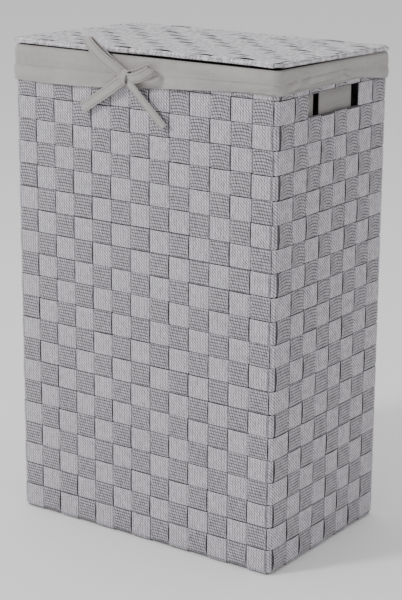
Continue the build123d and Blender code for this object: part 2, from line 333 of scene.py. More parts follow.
def cloth_height(made):
    """Relief of a plain weave with slubs, from the point in space."""
    split = made.node("ShaderNodeSeparateXYZ", None, {0: made.point()})
    thread = FULL_TURN / (0.9 * MM)
    weft = (split.out(2) * thread).sine()
    warp = ((split.out(0) + split.out(1)) * thread).sine()
    slub = made.noise((70, 70, 1400))
    slub_up = made.noise((1400, 1400, 70))
    return weft * warp * 0.25 + slub * 0.6 + slub_up * 0.4


CLOTH_GLOSS = {"Sheen Weight": 0.2, "Sheen Roughness": 0.5, "Specular IOR Level": 0.25}


def cloth_finish(name, tint):
    """Plain-weave cloth with faint slubs and soft tone changes."""
    made = Finish(name)
    relief = cloth_height(made)
    cloud = made.noise(16, 3.0)
    rub = made.noise(120, 4.0, 0.6)
    streak = made.noise((9, 9, 90), 3.0)
    level = relief * 0.26 + cloud * 0.4 + rub * 0.22 + streak * 0.3 + 0.36
    roughness = 0.9 - relief * 0.05
    return made.close(made.shaded(tint, level), roughness, relief, 0.35 * MM, CLOTH_GLOSS)


def tape_finish(name, tint):
    """Folded tape of the liner cloth, with a line of stitches near each edge."""
    made = Finish(name)
    across, along = made.coordinates(UV_NAME)
    relief = cloth_height(made)
    half = sizes().tape_width / MM / 2
    line = 1 - abs(abs(across) - (half - 2.4)).step(0.4, 1.1)
    thread = line * (1 - abs((along / 2.6).fraction() - 0.5).step(0.3, 0.42))
    cloud = made.noise(40, 3.0)
    # The stitch line is painted darker as painted shade in its pressed-down groove; the thread on it is
    # lighter.
    level = relief * 0.2 + cloud * 0.2 + 0.84 - line * 0.62 + thread * 0.5
    height = relief * 0.4 - line * 1.2 + thread * 1.5
    return made.close(made.shaded(tint, level), 0.9 - thread * 0.1, height, 0.3 * MM, CLOTH_GLOSS)


def wire_finish(name, tint):
    """Powder-coated wire: a fine orange-peel skin with small scuffs."""
    made = Finish(name)
    peel = made.noise(700)
    scuff = made.noise((90, 90, 400), 5.0, 0.7).step(0.62, 0.75)
    tint = made.shaded(tint, 1 + scuff * 0.35 - peel * 0.08)
    return made.close(tint, 0.5 - scuff * 0.15 + peel * 0.08, peel, 0.1 * MM)


def floor_finish(name, tint):
    """Plain matt studio paper."""
    made = Finish(name)
    grain = made.noise(300)
    return made.close(made.shaded(tint, grain * 0.02 + 0.99), 0.95, grain, 0.05 * MM)


# Meshes


def new_object(name, vertices, faces, material, layers=None):
    """A smooth-shaded mesh object; layers maps a UV map's name to one pair per face corner."""
    mesh = bpy.data.meshes.new(name)
    mesh.from_pydata([tuple(v) for v in vertices], [], faces)
    mesh.materials.append(material)
    for title, pairs in (layers or {}).items():
        layer = mesh.uv_layers.new(name=title)
        layer.data.foreach_set("uv", np.asarray(pairs, np.float32).ravel())
    mesh.polygons.foreach_set("use_smooth", [True] * len(mesh.polygons))
    mesh.update()
    made = bpy.data.objects.new(name, mesh)
    bpy.context.scene.collection.objects.link(made)
    return made


RING = (
    (-1.0, 0.35), (-0.955, 0.85), (-0.6, 1.0), (0.0, 1.08), (0.6, 1.0), (0.955, 0.85), (1.0, 0.35),
    (1.0, -0.35), (0.955, -0.9), (0.0, -1.0), (-0.955, -0.9), (-1.0, -0.35),
)


def sweep(
    name, stations, width, thickness, material, closed=False, arch=None, start=0.0, skew=(0, 0),
    depth=None, spread=None, curl=None,
):
    """A strap along stations of (point, outward normal, width direction), with rounded edges.
    arch gives, per station, how far the ridges bow along the strap in their middle, depth gives how far
    the strap stands out of the weave there, spread scales its width there, and curl lifts its two edges."""
    points = np.array([s[0] for s in stations], float)
    normals = np.array([s[1] for s in stations], float)
    sides = np.array([s[2] for s in stations], float)
    across = np.array([t for t, _ in RING]) * width / 2
    lift = np.array([h for _, h in RING]) * thickness / 2
    wide = np.ones(len(points)) if spread is None else np.array(spread)
    grid = points[:, None] + sides[:, None] * (wide[:, None] * across[None])[:, :, None]
    grid += normals[:, None] * lift[None, :, None]
    edge = across / (width / 2)
    low, high = np.zeros((2, len(points))) if curl is None else np.array(curl).T
    raised = low[:, None] * np.clip(-edge, 0, 1)[None] ** 2 + high[:, None] * np.clip(edge, 0, 1)[None] ** 2
    grid += normals[:, None] * raised[:, :, None]
    count, ring = len(points), len(RING)
    steps = np.linalg.norm(np.diff(points, axis=0, append=points[:1]), axis=1)
    along = start + np.concatenate([[0.0], np.cumsum(steps)])
    if not closed:
        lead = (points[1] - points[0]) / max(steps[0], 1e-9)
        grid[0] += lead * (across * skew[0])[:, None]
        trail = (points[-1] - points[-2]) / max(steps[-2], 1e-9)
        grid[-1] += trail * (across * skew[1])[:, None]
    bow = np.zeros(count + 1) if arch is None else np.append(arch, arch[0])
    relief = np.full(count + 1, PLAIN) if depth is None else np.append(depth, depth[0])
    faces, corners = [], []
    for n in range(count if closed else count - 1):
        m = (n + 1) % count
        for i in range(ring):
            j = (i + 1) % ring
            faces.append((n * ring + i, m * ring + i, m * ring + j, n * ring + j))
            corners += [(n, i), (n + 1, i), (n + 1, j), (n, j)]
    if not closed:
        faces.append(tuple(range(ring)))
        faces.append(tuple((count - 1) * ring + i for i in reversed(range(ring))))
        corners += [(0, i) for i in range(ring)] + [(count - 1, i) for i in reversed(range(ring))]
    where, corner = np.array(corners).T
    bowed = 1 - np.array([t * t for t, _ in RING])[corner]
    # The Relief map carries each corner's depth for painted shade: negative on the inner face and near zero
    # on the side faces, so the strap finish paints these darker.
    dive = relief[where]
    if depth is not None:
        outward = np.array([1.0 if h > 0 else -1.0 for _, h in RING])[corner]
        at_edge = np.abs(edge[corner]) == 1
        dive = dive * outward * (1 - 0.85 * at_edge)
    weave = np.stack([across[corner], along[where] + bow[where] * bowed], 1) / MM
    layers = {UV_NAME: weave, RELIEF_NAME: np.stack([dive, dive * 0], 1) / MM}
    return new_object(name, grid.reshape(-1, 3), faces, material, layers)


def smooth(value):
    value = min(max(value, 0.0), 1.0)
    return value * value * (3 - 2 * value)


def eased(first, last, count):
    """Pairs that go smoothly from first to last, both left out."""
    made = []
    for n in range(1, count + 1):
        t = n / (count + 1)
        made.append((first[0] + (last[0] - first[0]) * t, first[1] + (last[1] - first[1]) * smooth(t)))
    return made


def woven_run(crossings):
    """(place, offset) pairs along a strap: crowned over or under each crossing, with a quick step between.
    crossings holds (middle, half width, lies outside)."""
    rise, crown = sizes().rise, sizes().crown
    run = []
    for middle, half, outside in crossings:
        way = 1 if crossings[-1][0] > crossings[0][0] else -1
        patch = []
        for part in (-1, -0.72, -0.38, 0, 0.38, 0.72, 1):
            swell = crown * (1 - part * part)
            offset = rise + swell if outside else -rise - swell * 0.3
            patch.append((middle + way * part * half, offset))
        if run:
            run += eased(run[-1], patch[0], 2)
        run += patch
    return run


def reach():
    """How far the outside of the weave stands from the wall's middle."""
    return sizes().rise + sizes().crown + sizes().strap_thickness / 2


def half_strap():
    return sizes().strap_width / 2


def row_crossings(outside_at, rows=None):
    """Crossings with the hoops, from the top row down."""
    rows = range(LAST_ROW, -1, -1) if rows is None else rows
    crossings = []
    for row in rows:
        low, high = ROW_SPANS[row]
        half = half_strap() if row < LAST_ROW else (high - low) / 2 + 0.8 * MM
        crossings.append(((low + high) / 2, half, outside_at(row)))
    return crossings


def turn(middle, radius, start, end, count):
    """Stations round an arc: points and normals at angles from start to end, in degrees."""
    made = []
    for n in range(count):
        angle = math.radians(start + (end - start) * n / (count - 1))
        normal = (math.cos(angle), math.sin(angle))
        made.append(((middle[0] + radius * normal[0], middle[1] + radius * normal[1]), normal))
    return made


def rim_fold(wire_at):
    """Tail, turn over the rim wire and outer tangent, on the positive side."""
    radius = RIM.radius + 0.2 * MM + sizes().strap_thickness / 2
    tail = [((wire_at - radius, RIM.z - FOLDED_TAIL * part), (-1, 0)) for part in (1, 0.5)]
    outer = [((wire_at + radius, RIM.z - 1.2 * MM), (1, 0))]
    return tail + turn((wire_at, RIM.z), radius, 180, 0, 9) + outer


def hinge_fold(wire_at):
    """Tail, then a loop over the lid's back wire, which turns inside it."""
    radius = LID_WIRE.radius + 0.35 * MM + sizes().strap_thickness / 2
    inside = wire_at - RIM.radius - 0.2 * MM - sizes().strap_thickness / 2
    tail = [((inside, RIM.z - FOLDED_TAIL * part), (-1, 0)) for part in (1, 0.5, 0, -0.12)]
    return tail + turn((LID_WIRE.y, LID_WIRE.z), radius, 180, 0, 9)


def wall_part(wall, wire_at, outside_at, fold):
    """Stations from the rim's inside down to the foot of one wall, on the positive side."""
    made = fold(wire_at)
    run = woven_run(row_crossings(outside_at))
    last = made[-1][0]
    joined = eased((last[1], last[0] - wall), run[0], 3)
    made += [((wall + offset, z), (1, 0)) for z, offset in joined + run]
    return made


def mirrored(stations):
    return [((-point[0], point[1]), (-normal[0], normal[1])) for point, normal in stations]


def base_part(wall, crossings):
    """Stations round both bottom corners and along the base, from the positive side to the negative."""
    base = reach()
    run = woven_run(crossings)
    made = []
    corner = wall - BASE_BEND
    first, last = run[0][1], run[-1][1]
    made += turn((corner, base + BASE_BEND), BASE_BEND + first, 0, -90, 6)
    made += [((place, base - offset), (0, -1)) for place, offset in run]
    made += turn((-corner, base + BASE_BEND), BASE_BEND + last, -90, -180, 6)
    return made


def lifted(stations, axis, place, wobble=0.0, drift_by=0.35 * MM):
    """Flat stations of (across the hamper, height) put in space, at a place along the strap's width."""
    side = Vector((1, 0, 0)) if axis == "y" else Vector((0, 1, 0))
    made = []
    walked = 0.0
    before = None
    for (u, z), (nu, nz) in stations:
        walked += 0 if before is None else math.dist(before, (u, z))
        before = (u, z)
        sway = math.sin(walked / 0.11 + wobble) + 0.5 * math.sin(walked / 0.033 + wobble * 2)
        drift = place + drift_by * sway
        point = Vector((drift, u, z)) if axis == "y" else Vector((u, drift, z))
        normal = Vector((0, nu, nz)) if axis == "y" else Vector((nu, 0, nz))
        made.append((point, normal, side))
    return made


def arches(stations):
    """How far the ridges bow upward in the middle of a strap, strongest near the rim."""
    bows = []
    before = None
    for point, normal, _ in stations:
        rising = 0 if before is None else (-1 if point.z > before.z else 1)
        before = point
        most, low, tall = (4.5 * MM, 0.2, 0.25) if abs(normal.x) > 0.5 else (2.4 * MM, 0.38, 0.2)
        amount = most * smooth((point.z - low) / tall)
        bows.append(rising * amount if abs(normal.z) < 0.5 else 0.0)
    return bows


def body_curl(point, normal, side, swell):
    """How far a strap's two edges lift outside; the forward, right and upper edges lift more."""
    chance = 0.5 + 0.5 * ripple(point.x, point.y, point.z, 0.021, 11.0 + abs(side.x) + 2 * abs(side.z))
    low_row = 1 - smooth((point.z - 0.03) / 0.03)
    if normal.z < -0.5:
        return 0.0, 0.0
    if abs(side.z) > 0.5:
        return 0.0, swell * MM * (0.25 + 0.5 * chance)
    more, less = swell * MM * (0.3 + 0.6 * chance + 0.7 * low_row), swell * MM * 0.15 * chance
    return (more, less) if abs(normal.x) > 0.5 else (less, more)


def lid_curl(point, normal, side, swell):
    """As body_curl, for the lid: the front edges of its long straps pucker up here and there."""
    chance = max(0.0, ripple(point.x, point.y, point.z, 0.026, 23.0) + 0.2)
    if abs(side.y) > 0.5:
        return swell * MM * (0.35 + 1.25 * chance), swell * MM * 0.2
    return swell * MM * 0.1, swell * MM * (0.2 + 0.3 * chance)


def body_depth(point):
    """How far a point stands out of the middle of the walls and base; it is plain above the top row."""
    out = (abs(point.x) - HALF_X, abs(point.y) - HALF_Y, -point.z)
    out = [value + reach() + CORNER for value in out]
    if point.z > ROW_SPANS[-1][1] or sorted(out)[1] > 0:
        return PLAIN
    return math.hypot(*(max(value, 0) for value in out)) + min(max(out), 0) - CORNER


def lid_depth(point):
    """How far a point stands above the middle of the lid's panel; it is plain at the rolled edges."""
    inside = abs(point.x) < LID_WIRE.x - 3 * MM and abs(point.y) < LID_WIRE.y - 3 * MM
    return point.z - (LID_TOP - reach()) if inside else PLAIN


def finished(piece, body, slot, *replaced):
    """Puts a piece on its body and hides the CAD nodes that it stands for; slot is not used."""
    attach(piece, body)
    if replaced:
        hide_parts(*replaced)
    return piece


def webbing(name, stations, kind, closed=False, start=0.0, width=None):
    """A strap of the body or the lid, not yet on it; kind names its finish and its colour."""
    material = finish(kind, strap_finish, getattr(colours(), kind))
    on_lid = kind == "lid_strap"
    width = width or sizes().strap_width
    bows = arches(stations) if kind == "upright_strap" else None
    depth = [(lid_depth if on_lid else body_depth)(point) for point, _, _ in stations]
    spread = None
    if on_lid:
        rolled = ROLLED_WIDTH / width
        spread = [rolled if abs(n.z) < 0.9 or p.z < LID_WIRE.z else 1.0 for p, n, _ in stations]
    curl = []
    for (point, normal, side), out in zip(stations, depth):
        swell = 0.0 if out >= PLAIN else smooth((out - sizes().rise) / sizes().crown)
        curl.append((lid_curl if on_lid else body_curl)(point, normal, side, swell))
    extras = {"depth": depth, "spread": spread, "curl": curl}
    return sweep(name, stations, width, sizes().strap_thickness, material, closed, bows, start, **extras)


def strap(node, stations, kind, closed=False, seed=0):
    """One woven strap of the body, in the place of its CAD node."""
    piece = webbing(node.replace("strap", "webbing"), stations, kind, closed, seed * SEED_SHIFT)
    return finished(piece, BODY, "woven_strap", node)


def joined(name, pieces):
    """Several pieces made one object."""
    with bpy.context.temp_override(
        active_object=pieces[0], selected_editable_objects=pieces, selected_objects=pieces
    ):
        bpy.ops.object.join()
    pieces[0].name = name
    return pieces[0]


# Operators


class HAMPER_OT_front_back_straps(bpy.types.Operator):
    """Straps down the front wall, under the base and up the back wall, two of them looped as hinges"""

    bl_idname = "hamper.front_back_straps"
    bl_label = "Front to Back Straps"

    def execute(self, context):
        wall = HALF_Y - reach()
        for column, node in enumerate(UPRIGHTS):
            fold = hinge_fold if column in HINGE_COLUMNS else rim_fold
            back = wall_part(wall, RIM.y, lambda row: not plaited(column, row, 1), fold)
            front = wall_part(wall, RIM.y, lambda row: plaited(column, row, 1), rim_fold)
            crossings = [(y, half_strap(), plaited(column, j)) for j, y in enumerate(COLUMN_Y)]
            under = base_part(wall, crossings[::-1])
            line = back + under + mirrored(front)[::-1]
            stations = lifted(line, "y", COLUMN_X[column], column * 1.7)
            strap(node, stations, "upright_strap", seed=column)
        return {"FINISHED"}


def handle_fold_low(outside_at, wall):
    """The cut strap under a hand hole: tail inside, a fold over the hoop's edge, then down the wall."""
    row = HANDLE_ROW - 1
    top = ROW_SPANS[row][1] + 0.9 * MM
    run = woven_run(row_crossings(outside_at, range(row, -1, -1)))
    outer = run[0][1]
    inner = -2.4 * MM
    middle = (wall + (outer + inner) / 2, top)
    made = [((wall + inner, top - down), (-1, 0)) for down in (14 * MM, 5 * MM)]
    made += turn(middle, (outer - inner) / 2, 180, 0, 6)
    made += [((wall + offset, z), (1, 0)) for z, offset in run]
    return made


def handle_bar_wrap(outside, wall):
    """A short strap over the handle bar: tail inside, under the rim row, up its face and over the rim."""
    low = ROW_SPANS[-1][0]
    run = woven_run(row_crossings(lambda row: outside, [LAST_ROW]))
    run = [pair for pair in run if pair[0] >= low - 0.9 * MM]
    outer = run[-1][1]
    inner = -2.0 * MM
    made = rim_fold(RIM.x)
    last = made[-1][0]
    lead = eased((last[1], last[0] - wall), run[0], 3)
    made += [((wall + offset, z), (1, 0)) for z, offset in lead + run]
    middle = (wall + (outer + inner) / 2, low - 0.6 * MM)
    made += turn(middle, (outer - inner) / 2, 0, -180, 6)
    made += [((wall + inner, low + up), (-1, 0)) for up in (6 * MM, 11 * MM)]
    return made


class HAMPER_OT_side_straps(bpy.types.Operator):
    """Straps down the left wall, under the base and up the right wall, cut and folded at the hand holes"""

    bl_idname = "hamper.side_straps"
    bl_label = "Side to Side Straps"

    def execute(self, context):
        wall = HALF_X - reach()
        bars = {"left": [], "right": []}
        for column, node in enumerate(SIDE_UPRIGHTS):
            def outside_at(row, column=column):
                return plaited(column, row)

            crossings = [(x, half_strap(), not plaited(k, column)) for k, x in enumerate(COLUMN_X)]
            under = base_part(wall, crossings[::-1])
            if column in HANDLE_COLUMNS:
                half = handle_fold_low(outside_at, wall)
                wrap = handle_bar_wrap(outside_at(LAST_ROW), wall)
                for side, line in (("right", wrap), ("left", mirrored(wrap))):
                    name, stations = f"{side}_wrap_{column}", lifted(line, "x", COLUMN_Y[column])
                    bars[side].append(webbing(name, stations, "upright_strap", start=0.31 * column))
            else:
                half = wall_part(wall, RIM.x, outside_at, rim_fold)
            line = half + under + mirrored(half)[::-1]
            stations = lifted(line, "x", COLUMN_Y[column], column * 2.3, 0.6 * MM)
            strap(node, stations, "upright_strap", seed=column + 20)
        for side, pieces in bars.items():
            bar = joined(f"{side}_handle_bar_webbing", pieces)
            finished(bar, BODY, "woven_strap", f"{side}_handle_bar_wraps")
        return {"FINISHED"}


def hoop_sides(row):
    """The four walls of a hoop, going round: crossings, mapping to the plan, normal, corner and angle."""
    wall_x, wall_y = HALF_X - reach(), HALF_Y - reach()
    bend_x, bend_y = wall_x - CORNER, wall_y - CORNER
    half = half_strap()
    front = [(x, half, not plaited(k, row, 1)) for k, x in enumerate(COLUMN_X)]
    right = [(y, half, not plaited(j, row)) for j, y in enumerate(COLUMN_Y)]
    back = [(x, half, not outside) for x, half, outside in front[::-1]]
    left = right[::-1]
    return (
        (front, lambda a, o: (a, -wall_y - o), (0, -1), (bend_x, -bend_y), -90),
        (right, lambda a, o: (wall_x + o, a), (1, 0), (bend_x, bend_y), 0),
        (back, lambda a, o: (a, wall_y + o), (0, 1), (-bend_x, bend_y), 90),
        (left, lambda a, o: (-wall_x - o, a), (-1, 0), (-bend_x, -bend_y), 180),
    )


def hoop_line(sides):
    """Stations along walls and round the corners between them, where the hoop eases to its next offset."""
    made = []
    runs = [woven_run(side[0]) for side in sides]
    for n, (_, place, normal, corner, angle) in enumerate(sides):
        made += [(place(along, offset), normal) for along, offset in runs[n]]
        if corner is None:
            continue
        before, after = runs[n][-1][1], runs[(n + 1) % len(runs)][0][1]
        for step in range(7):
            radius = CORNER + before + (after - before) * smooth(step / 4)
            bend = math.radians(angle + 15 * step)
            out = (math.cos(bend), math.sin(bend))
            made.append(((corner[0] + radius * out[0], corner[1] + radius * out[1]), out))
    return made


def hoop_stations(line, height, wobble):
    made = []
    for (x, y), (nx, ny) in line:
        angle = math.atan2(y / HALF_Y, x / HALF_X)
        drift = 0.35 * MM * math.sin(3 * angle + wobble)
        made.append((Vector((x, y, height + drift)), Vector((nx, ny, 0)), Vector((0, 0, 1))))
    return made


class HAMPER_OT_hoops(bpy.types.Operator):
    """Straps round all four walls, plaited with the uprights; one row is cut at the hand holes"""

    bl_idname = "hamper.hoops"
    bl_label = "Hoop Straps"

    def execute(self, context):
        for row, node in enumerate(HOOPS):
            low, high = ROW_SPANS[row]
            height, sides = (low + high) / 2, hoop_sides(row)
            name = node.replace("strap", "webbing")
            if row == HANDLE_ROW:
                pieces = []
                for part, walls in enumerate(self.cut(sides)):
                    stations = hoop_stations(hoop_line(walls), height, row)
                    pieces.append(webbing(f"{name}_{part}", stations, "hoop_strap", start=0.2 * part))
                finished(joined(name, pieces), BODY, "woven_strap", node)
                continue
            stations = hoop_stations(hoop_line(sides), height, row * 1.3)
            if row == LAST_ROW:
                piece = webbing(name, stations, "hoop_strap", True, width=high - low + 1.6 * MM)
                finished(piece, BODY, "woven_strap", node)
            else:
                strap(node, stations, "hoop_strap", True, seed=row + 40)
        return {"FINISHED"}

    @staticmethod
    def cut(sides):
        """The front half and the back half of a hoop that stops at both hand holes."""
        front, right, back, left = sides
        first, last = HANDLE_COLUMNS[0], HANDLE_COLUMNS[-1]
        near_left = (left[0][len(COLUMN_Y) - first:], *left[1:])
        near_right = (right[0][:first], *right[1:3], None, 0)
        far_right, far_left = right[0][last + 1:], left[0][:len(COLUMN_Y) - 1 - last]
        y, width, outside = far_right[0]
        end = (y - HOOP_END, width + HOOP_END, outside)
        far_right, far_left = [end, *far_right[1:]], [*far_left[:-1], end]
        return (
            (near_left, front, near_right),
            ((far_right, *right[1:]), back, (far_left, *left[1:3], None, 0)),
        )


def lid_wrap(wire_at):
    """Underside tail and turn round the lid wire, on the positive side, ending on top."""
    radius = LID_WIRE.radius + 0.1 * MM + sizes().strap_thickness / 2
    low = LID_WIRE.z - radius
    tail = [((wire_at - 9 * MM, low + 1.6 * MM), (0, -1)), ((wire_at - 4 * MM, low + 0.6 * MM), (0, -1))]
    return tail + turn((wire_at, LID_WIRE.z), radius, -90, 90, 9)


def lid_line(wire_at, crossings, open_end=False):
    """A lid strap from its wrap on the positive side to the one on the negative side."""
    panel = LID_TOP - reach()
    run = woven_run(crossings[::-1])
    made = [] if open_end else lid_wrap(wire_at)
    made += [((place, panel + offset), (0, 1)) for place, offset in run]
    made += mirrored(lid_wrap(wire_at))[::-1]
    return made


def rectangle(half_x, half_y, bend, breaks=()):
    """Points round a rectangle with rounded corners, with outward normals.
    breaks lists extra (axis, place) stations, so that openings have straight edges."""
    spacing = 7 * MM

    def spread(low, high, axis):
        count = max(2, round((high - low) / spacing))
        marks = [low + (high - low) * n / count for n in range(count + 1)]
        marks += [place for name, place in breaks if name == axis and low < place < high]
        return sorted(set(marks))

    along_x = spread(-half_x + bend, half_x - bend, "x")
    along_y = spread(-half_y + bend, half_y - bend, "y")
    sides = (
        (along_x, (0, -1), (1, -1)), (along_y, (1, 0), (1, 1)),
        (along_x[::-1], (0, 1), (-1, 1)), (along_y[::-1], (-1, 0), (-1, -1)),
    )
    made = []
    for n, (marks, normal, corner) in enumerate(sides):
        for mark in marks:
            made.append(((normal[0] * half_x or mark, normal[1] * half_y or mark), normal))
        middle = (corner[0] * (half_x - bend), corner[1] * (half_y - bend))
        made += turn(middle, bend, 90 * n - 90, 90 * n, 7)[1:-1]
    return made


def pushed(point, normal, out, z):
    """A point of a plan moved out along its normal, at a height."""
    return (point[0] + normal[0] * out, point[1] + normal[1] * out, z)


def forward(y):
    """How far a place lies from the hinge towards the front, from 0 to 1."""
    return min(max((LID_WIRE.y - y) / (2 * LID_WIRE.y), 0), 1)


def warped(piece):
    """Lifts the lid towards its front edge, a little more at the right, as a soft lid rests on the cuff."""
    for vertex in piece.data.vertices:
        x, y, _ = vertex.co
        across = smooth((x + 0.09) / 0.13) * (1 - 0.45 * smooth((x - 0.15) / 0.05))
        vertex.co.z += LID_LIFT * forward(y) + LID_TWIST * smooth(forward(y)) * across
    return piece


def round_wire(name, wire, bend):
    """A closed rectangular ring of round wire."""
    sections = 12
    line = rectangle(wire.x, wire.y, bend)
    count = len(line)
    points, faces = [], []
    for section in range(sections):
        angle = FULL_TURN * section / sections
        out, up = wire.radius * math.cos(angle), wire.radius * math.sin(angle)
        points += [pushed(*station, out, wire.z + up) for station in line]
        here, below = section * count, (section + 1) % sections * count
        for n in range(count):
            m = (n + 1) % count
            faces.append((here + n, below + n, below + m, here + m))
    material = finish("powder_coated_wire", wire_finish, colours().wire)
    return new_object(name, points, faces, material)


class HAMPER_OT_lid(bpy.types.Operator):
    """The lid's panel: straps both ways, rolled round the lid wire at their ends"""

    bl_idname = "hamper.lid"
    bl_label = "Lid"

    def execute(self, context):
        half = half_strap()
        cross, long = [], []
        for column, x in enumerate(COLUMN_X):
            hinge = column in HINGE_COLUMNS
            crossings = [(y, half, plaited(column, j)) for j, y in enumerate(COLUMN_Y)]
            stations = lifted(lid_line(LID_WIRE.y, crossings, hinge), "y", x, column * 0.9)
            width = sizes().strap_width if hinge else sizes().lid_cross_width
            name, start = f"lid_cross_{column}", 0.17 * column
            cross.append(webbing(name, stations, "lid_strap", start=start, width=width))
        for column, y in enumerate(COLUMN_Y):
            crossings = [(x, half, not plaited(k, column)) for k, x in enumerate(COLUMN_X)]
            stations = lifted(lid_line(LID_WIRE.x, crossings), "x", y, column * 1.9, 0.6 * MM)
            name, start = f"lid_long_{column}", 0.23 * column
            long.append(webbing(name, stations, "lid_strap", start=start, width=sizes().lid_strap_width))
        cross = warped(joined("lid_cross_webbing", cross))
        long = warped(joined("lid_long_webbing", long))
        wire = warped(round_wire("lid_edge_wire", LID_WIRE, 5 * MM))
        finished(cross, LID, "woven_strap", "lid_cross_straps")
        finished(long, LID, "woven_strap", "lid_long_straps")
        finished(wire, LID, "frame_wire", "lid_frame_wire")
        return {"FINISHED"}


class HAMPER_OT_wires(bpy.types.Operator):
    """The frame's wires keep their CAD shape and take a powder-coated finish"""

    bl_idname = "hamper.wires"
    bl_label = "Frame Wires"

    def execute(self, context):
        material = finish("powder_coated_wire", wire_finish, colours().wire)
        wires = ["top_rim_wire", "base_rim_wire"]
        wires += [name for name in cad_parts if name.endswith("_corner_post")]
        for name in wires:
            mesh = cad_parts[name].data
            mesh.materials.clear()
            mesh.materials.append(material)
        return {"FINISHED"}


# Cloth


def outline(offset, bend, breaks=()):
    """Points round the rim wire's middle line, moved out by offset, with outward normals."""
    line = rectangle(RIM.x, RIM.y, bend, breaks)
    return [(pushed(point, normal, offset, 0)[:2], normal) for point, normal in line]


def ripple(x, y, z, size, seed=0.0):
    """Smooth noise from -1 to 1 that repeats the same each run."""
    return noise.noise(Vector((x / size + seed, y / size - seed, z / size + 2 * seed)))


def skin(name, rows, material, keep=lambda point: True):
    """A closed-round sheet through rows of points; faces whose middle isn't kept are left out."""
    count = len(rows[0])
    points = [point for row in rows for point in row]
    faces = []
    for r in range(len(rows) - 1):
        for n in range(count):
            m = (n + 1) % count
            face = (r * count + n, r * count + m, (r + 1) * count + m, (r + 1) * count + n)
            middle = sum((Vector(points[i]) for i in face), Vector()) / 4
            if keep(middle):
                faces.append(face)
    return new_object(name, points, faces, material)


def thicken(piece):
    """Gives a sheet of cloth its thickness, with smooth in-between faces."""
    subdivision = piece.modifiers.new("smooth", "SUBSURF")
    subdivision.levels = subdivision.render_levels = 1
    solid = piece.modifiers.new("thickness", "SOLIDIFY")
    solid.thickness = sizes().cloth_thickness
    solid.offset = 0.0


RIGHT_HEM = ((0, 0), (0.05, 3), (0.25, 2.5), (0.48, 0.8), (0.58, 2.6), (0.66, 0.8), (0.8, -1), (1, -2))


def hem_height(x, y):
    """Height of the cuff's lower edge round the hamper."""
    top_left, top_right = CUFF_LOW.z + 0.5 * MM, CUFF_LOW.z + 19 * MM
    if y < -RIM.y + 3 * MM and abs(x) < RIM.x:
        t = (x + RIM.x) / (2 * RIM.x)
        height = top_left + (top_right - top_left) * (0.2 * t + 0.8 * smooth((t - 0.15) / 0.85))
    elif x > RIM.x - 3 * MM:
        t = (y + RIM.y) / (2 * RIM.y)
        rise = min(t / 0.56, 1) - 0.75 * smooth((t - 0.56) / 0.06)
        height = top_right - 2.0 * MM + 8.5 * MM * rise - 7 * MM * smooth((t - 0.66) / 0.34)
        height += MM * np.interp(t, *zip(*RIGHT_HEM))
    elif y > RIM.y - 3 * MM:
        height = CUFF_LOW.z + 11.5 * MM + 2.5 * MM * math.cos(x * 14)
    else:
        t = (y + RIM.y) / (2 * RIM.y)
        rise = smooth(t / 0.3) * (1 - smooth((t - 0.75) / 0.25))
        height = top_left + 2 * MM + 16 * MM * rise + 9 * MM * smooth((t - 0.7) / 0.3)
    return height + 0.9 * MM * ripple(x, y, 0, 0.045, 3.0)


CUFF_BEND = 6 * MM
CUFF_TAIL = 14 * MM
SEAM_SHARE = 0.47
SEAM_ROWS = (SEAM_SHARE - 0.035, SEAM_SHARE, SEAM_SHARE + 0.035)
CUFF_DROPS = (0.06, 0.14, 0.22, 0.3, 0.38, *SEAM_ROWS, 0.6, 0.7, 0.8, 0.88, 0.94, 0.975, 1.0)
SLACK_FOLDS = ((0.001, 0.003), (0.011, 0.0026), (-0.009, 0.0024))


def bell(value, middle, width):
    """A smooth bump of height 1."""
    return math.exp(-(((value - middle) / width) ** 2))


